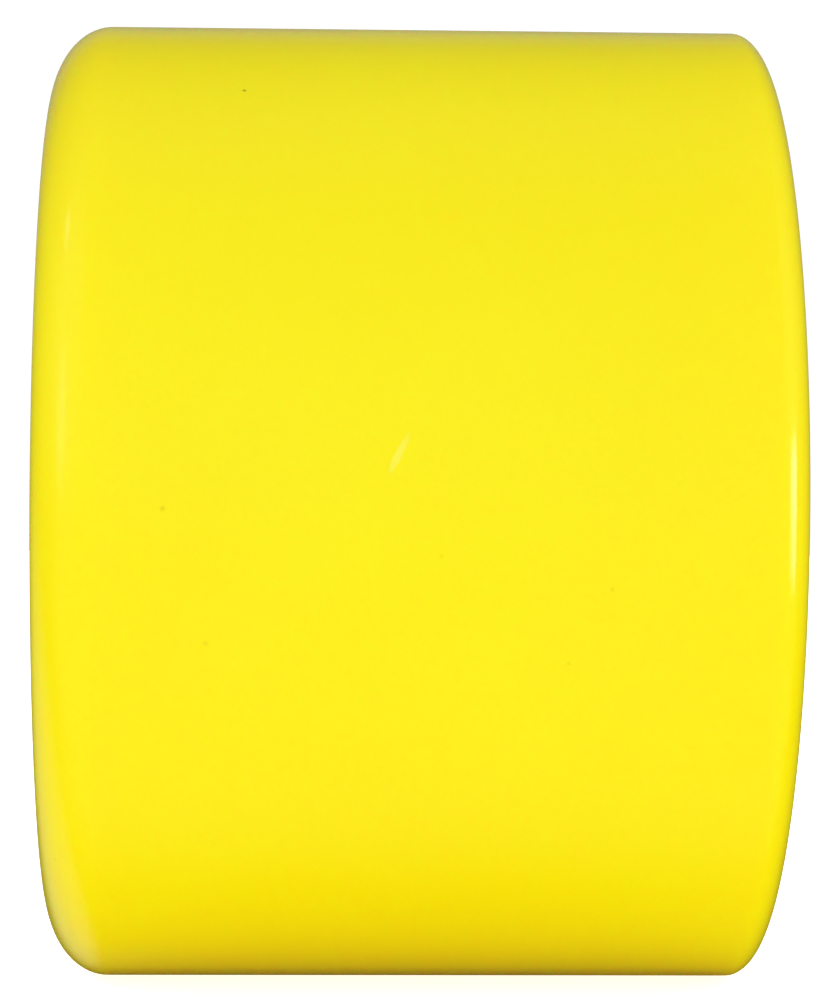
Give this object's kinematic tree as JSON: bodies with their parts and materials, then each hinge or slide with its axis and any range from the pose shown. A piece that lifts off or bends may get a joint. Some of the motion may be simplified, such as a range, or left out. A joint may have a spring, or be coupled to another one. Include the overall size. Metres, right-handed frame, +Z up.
{
  "type": "longboard wheel with bearings",
  "caption": "Cast urethane skate wheel with rounded lips and dished sides, on a spoked core with two shielded ball bearings, a spacer and washers.",
  "frame": {"origin": "centre of the wheel, on the axle's axis, halfway between its two sides", "axes": "+Y along the axle from the nut side to the hanger side, +Z up, +X in the rolling direction"},
  "size_m": [0.07, 0.052, 0.07],
  "materials": {
    "urethane": "glossy cast polyurethane, opaque lemon yellow",
    "core_nylon": "moulded nylon, off-white",
    "turned_aluminium": "turned",
    "plated_steel": "zinc plated",
    "bearing_steel": "ground",
    "pressed_steel": "pressed sheet",
    "spring_steel": "tempered wire",
    "cage_nylon": "moulded nylon, dark blue"
  },
  "bodies": {
    "axle_stack": {"nut_side_inner_race": "bearing_steel", "hanger_side_inner_race": "bearing_steel", "spacer": "turned_aluminium", "nut_side_washer": "plated_steel", "hanger_side_washer": "plated_steel"},
    "wheel": {"tyre": "urethane", "core": "core_nylon", "nut_side_outer_race": "bearing_steel", "hanger_side_outer_race": "bearing_steel", "nut_side_outward_shield": "pressed_steel", "nut_side_inward_shield": "pressed_steel", "nut_side_outward_snap_ring": "spring_steel", "nut_side_inward_snap_ring": "spring_steel", "hanger_side_outward_shield": "pressed_steel", "hanger_side_inward_shield": "pressed_steel", "hanger_side_outward_snap_ring": "spring_steel", "hanger_side_inward_snap_ring": "spring_steel"},
    "nut_side_cage": {"nut_side_cage": "cage_nylon"},
    "nut_side_ball_1": {"nut_side_ball_1": "bearing_steel"},
    "nut_side_ball_2": {"nut_side_ball_2": "bearing_steel"},
    "nut_side_ball_3": {"nut_side_ball_3": "bearing_steel"},
    "nut_side_ball_4": {"nut_side_ball_4": "bearing_steel"},
    "nut_side_ball_5": {"nut_side_ball_5": "bearing_steel"},
    "nut_side_ball_6": {"nut_side_ball_6": "bearing_steel"},
    "nut_side_ball_7": {"nut_side_ball_7": "bearing_steel"},
    "hanger_side_cage": {"hanger_side_cage": "cage_nylon"},
    "hanger_side_ball_1": {"hanger_side_ball_1": "bearing_steel"},
    "hanger_side_ball_2": {"hanger_side_ball_2": "bearing_steel"},
    "hanger_side_ball_3": {"hanger_side_ball_3": "bearing_steel"},
    "hanger_side_ball_4": {"hanger_side_ball_4": "bearing_steel"},
    "hanger_side_ball_5": {"hanger_side_ball_5": "bearing_steel"},
    "hanger_side_ball_6": {"hanger_side_ball_6": "bearing_steel"},
    "hanger_side_ball_7": {"hanger_side_ball_7": "bearing_steel"}
  },
  "joints": [
    {"name": "wheel_spin", "type": "hinge", "parent": "axle_stack", "child": "wheel", "pos_m": [0, 0, 0], "axis": [0, 1, 0], "continuous": true},
    {"name": "nut_side_cage_turn", "type": "hinge", "parent": "axle_stack", "child": "nut_side_cage", "pos_m": [0, -0.0085, 0], "axis": [0, 1, 0], "continuous": true},
    {"name": "nut_side_ball_1_spin", "type": "hinge", "parent": "nut_side_cage", "child": "nut_side_ball_1", "pos_m": [-0.0075, -0.0085, 0], "axis": [0, 1, 0], "continuous": true},
    {"name": "nut_side_ball_2_spin", "type": "hinge", "parent": "nut_side_cage", "child": "nut_side_ball_2", "pos_m": [-0.00468, -0.0085, 0.00586], "axis": [0, 1, 0], "continuous": true},
    {"name": "nut_side_ball_3_spin", "type": "hinge", "parent": "nut_side_cage", "child": "nut_side_ball_3", "pos_m": [0.00167, -0.0085, 0.00731], "axis": [0, 1, 0], "continuous": true},
    {"name": "nut_side_ball_4_spin", "type": "hinge", "parent": "nut_side_cage", "child": "nut_side_ball_4", "pos_m": [0.00676, -0.0085, 0.00325], "axis": [0, 1, 0], "continuous": true},
    {"name": "nut_side_ball_5_spin", "type": "hinge", "parent": "nut_side_cage", "child": "nut_side_ball_5", "pos_m": [0.00676, -0.0085, -0.00325], "axis": [0, 1, 0], "continuous": true},
    {"name": "nut_side_ball_6_spin", "type": "hinge", "parent": "nut_side_cage", "child": "nut_side_ball_6", "pos_m": [0.00167, -0.0085, -0.00731], "axis": [0, 1, 0], "continuous": true},
    {"name": "nut_side_ball_7_spin", "type": "hinge", "parent": "nut_side_cage", "child": "nut_side_ball_7", "pos_m": [-0.00468, -0.0085, -0.00586], "axis": [0, 1, 0], "continuous": true},
    {"name": "hanger_side_cage_turn", "type": "hinge", "parent": "axle_stack", "child": "hanger_side_cage", "pos_m": [0, 0.0085, 0], "axis": [0, 1, 0], "continuous": true},
    {"name": "hanger_side_ball_1_spin", "type": "hinge", "parent": "hanger_side_cage", "child": "hanger_side_ball_1", "pos_m": [0.0075, 0.0085, 0], "axis": [0, 1, 0], "continuous": true},
    {"name": "hanger_side_ball_2_spin", "type": "hinge", "parent": "hanger_side_cage", "child": "hanger_side_ball_2", "pos_m": [0.00468, 0.0085, 0.00586], "axis": [0, 1, 0], "continuous": true},
    {"name": "hanger_side_ball_3_spin", "type": "hinge", "parent": "hanger_side_cage", "child": "hanger_side_ball_3", "pos_m": [-0.00167, 0.0085, 0.00731], "axis": [0, 1, 0], "continuous": true},
    {"name": "hanger_side_ball_4_spin", "type": "hinge", "parent": "hanger_side_cage", "child": "hanger_side_ball_4", "pos_m": [-0.00676, 0.0085, 0.00325], "axis": [0, 1, 0], "continuous": true},
    {"name": "hanger_side_ball_5_spin", "type": "hinge", "parent": "hanger_side_cage", "child": "hanger_side_ball_5", "pos_m": [-0.00676, 0.0085, -0.00325], "axis": [0, 1, 0], "continuous": true},
    {"name": "hanger_side_ball_6_spin", "type": "hinge", "parent": "hanger_side_cage", "child": "hanger_side_ball_6", "pos_m": [-0.00167, 0.0085, -0.00731], "axis": [0, 1, 0], "continuous": true},
    {"name": "hanger_side_ball_7_spin", "type": "hinge", "parent": "hanger_side_cage", "child": "hanger_side_ball_7", "pos_m": [0.00468, 0.0085, -0.00586], "axis": [0, 1, 0], "continuous": true}
  ],
  "couplings": [
    {"joint": "nut_side_cage_turn", "follows": "wheel_spin", "ratio": 0.6323},
    {"joint": "nut_side_ball_1_spin", "follows": "wheel_spin", "ratio": 1.7573},
    {"joint": "nut_side_ball_2_spin", "follows": "wheel_spin", "ratio": 1.7573},
    {"joint": "nut_side_ball_3_spin", "follows": "wheel_spin", "ratio": 1.7573},
    {"joint": "nut_side_ball_4_spin", "follows": "wheel_spin", "ratio": 1.7573},
    {"joint": "nut_side_ball_5_spin", "follows": "wheel_spin", "ratio": 1.7573},
    {"joint": "nut_side_ball_6_spin", "follows": "wheel_spin", "ratio": 1.7573},
    {"joint": "nut_side_ball_7_spin", "follows": "wheel_spin", "ratio": 1.7573},
    {"joint": "hanger_side_cage_turn", "follows": "wheel_spin", "ratio": 0.6323},
    {"joint": "hanger_side_ball_1_spin", "follows": "wheel_spin", "ratio": 1.7573},
    {"joint": "hanger_side_ball_2_spin", "follows": "wheel_spin", "ratio": 1.7573},
    {"joint": "hanger_side_ball_3_spin", "follows": "wheel_spin", "ratio": 1.7573},
    {"joint": "hanger_side_ball_4_spin", "follows": "wheel_spin", "ratio": 1.7573},
    {"joint": "hanger_side_ball_5_spin", "follows": "wheel_spin", "ratio": 1.7573},
    {"joint": "hanger_side_ball_6_spin", "follows": "wheel_spin", "ratio": 1.7573},
    {"joint": "hanger_side_ball_7_spin", "follows": "wheel_spin", "ratio": 1.7573}
  ]
}
